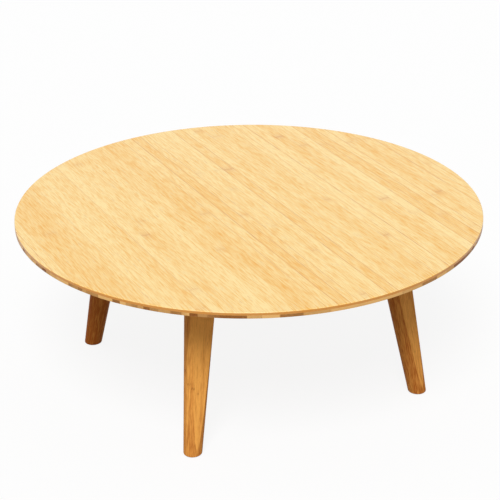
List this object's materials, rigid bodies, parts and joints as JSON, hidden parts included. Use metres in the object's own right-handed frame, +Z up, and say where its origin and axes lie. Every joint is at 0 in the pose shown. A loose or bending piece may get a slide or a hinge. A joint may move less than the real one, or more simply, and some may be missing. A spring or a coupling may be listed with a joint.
{
  "type": "chabudai folding low table",
  "caption": "Low round laminated bamboo table with splayed tapered legs that fold flat under the top on latched steel brackets.",
  "frame": {"origin": "on the floor under the centre of the top", "axes": "+Z up; +Y along the grain of the top, away from the front; +X to the right, across the grain"},
  "size_m": [0.7999, 0.8, 0.314],
  "materials": {
    "bamboo_face": "satin clear lacquer on light bamboo",
    "bamboo_core": "satin clear lacquer on mixed dark and light bamboo",
    "bamboo_back": "thin clear lacquer on bamboo",
    "bamboo_batten": "thin clear lacquer on bamboo",
    "bamboo_leg": "satin clear lacquer on caramel bamboo",
    "bracket_steel": "bright zinc plate on pressed steel",
    "spring_steel": "blued and oiled spring steel",
    "pin_steel": "zinc plated steel",
    "screw_steel": "yellow zinc plated steel",
    "nylon": "natural nylon",
    "felt": "pressed brown felt"
  },
  "bodies": {
    "tabletop": {"face_ply": "bamboo_face", "core_ply": "bamboo_core", "back_ply": "bamboo_back", "batten_front": "bamboo_batten", "batten_screws_front": "screw_steel", "batten_back": "bamboo_batten", "batten_screws_back": "screw_steel", "bracket_base_front_left": "bracket_steel", "base_screws_front_left": "screw_steel", "pivot_pin_front_left": "pin_steel", "pivot_washers_front_left": "nylon", "latch_springs_front_left": "spring_steel", "latch_rivets_front_left": "pin_steel", "bracket_base_front_right": "bracket_steel", "base_screws_front_right": "screw_steel", "pivot_pin_front_right": "pin_steel", "pivot_washers_front_right": "nylon", "latch_springs_front_right": "spring_steel", "latch_rivets_front_right": "pin_steel", "bracket_base_back_right": "bracket_steel", "base_screws_back_right": "screw_steel", "pivot_pin_back_right": "pin_steel", "pivot_washers_back_right": "nylon", "latch_springs_back_right": "spring_steel", "latch_rivets_back_right": "pin_steel", "bracket_base_back_left": "bracket_steel", "base_screws_back_left": "screw_steel", "pivot_pin_back_left": "pin_steel", "pivot_washers_back_left": "nylon", "latch_springs_back_left": "spring_steel", "latch_rivets_back_left": "pin_steel"},
    "folding_leg_front_left": {"leg_front_left": "bamboo_leg", "foot_pad_front_left": "felt", "leg_channel_front_left": "bracket_steel", "channel_screws_front_left": "screw_steel"},
    "folding_leg_front_right": {"leg_front_right": "bamboo_leg", "foot_pad_front_right": "felt", "leg_channel_front_right": "bracket_steel", "channel_screws_front_right": "screw_steel"},
    "folding_leg_back_right": {"leg_back_right": "bamboo_leg", "foot_pad_back_right": "felt", "leg_channel_back_right": "bracket_steel", "channel_screws_back_right": "screw_steel"},
    "folding_leg_back_left": {"leg_back_left": "bamboo_leg", "foot_pad_back_left": "felt", "leg_channel_back_left": "bracket_steel", "channel_screws_back_left": "screw_steel"}
  },
  "joints": [
    {"name": "fold_front_left", "type": "hinge", "parent": "tabletop", "child": "folding_leg_front_left", "pos_m": [-0.17763, -0.16955, 0.275], "axis": [1, 0, 0], "range_deg": [0, 98.15], "deforming": ["latch_springs_front_left"]},
    {"name": "fold_front_right", "type": "hinge", "parent": "tabletop", "child": "folding_leg_front_right", "pos_m": [0.17573, -0.16975, 0.275], "axis": [0.972, 0.2351, 0], "range_deg": [0, 99.8], "deforming": ["latch_springs_front_right"]},
    {"name": "fold_back_right", "type": "hinge", "parent": "tabletop", "child": "folding_leg_back_right", "pos_m": [0.17763, 0.16955, 0.275], "axis": [-1, 0, 0], "range_deg": [0, 98.15], "deforming": ["latch_springs_back_right"]},
    {"name": "fold_back_left", "type": "hinge", "parent": "tabletop", "child": "folding_leg_back_left", "pos_m": [-0.17573, 0.16975, 0.275], "axis": [-0.972, -0.2351, 0], "range_deg": [0, 99.8], "deforming": ["latch_springs_back_left"]}
  ]
}
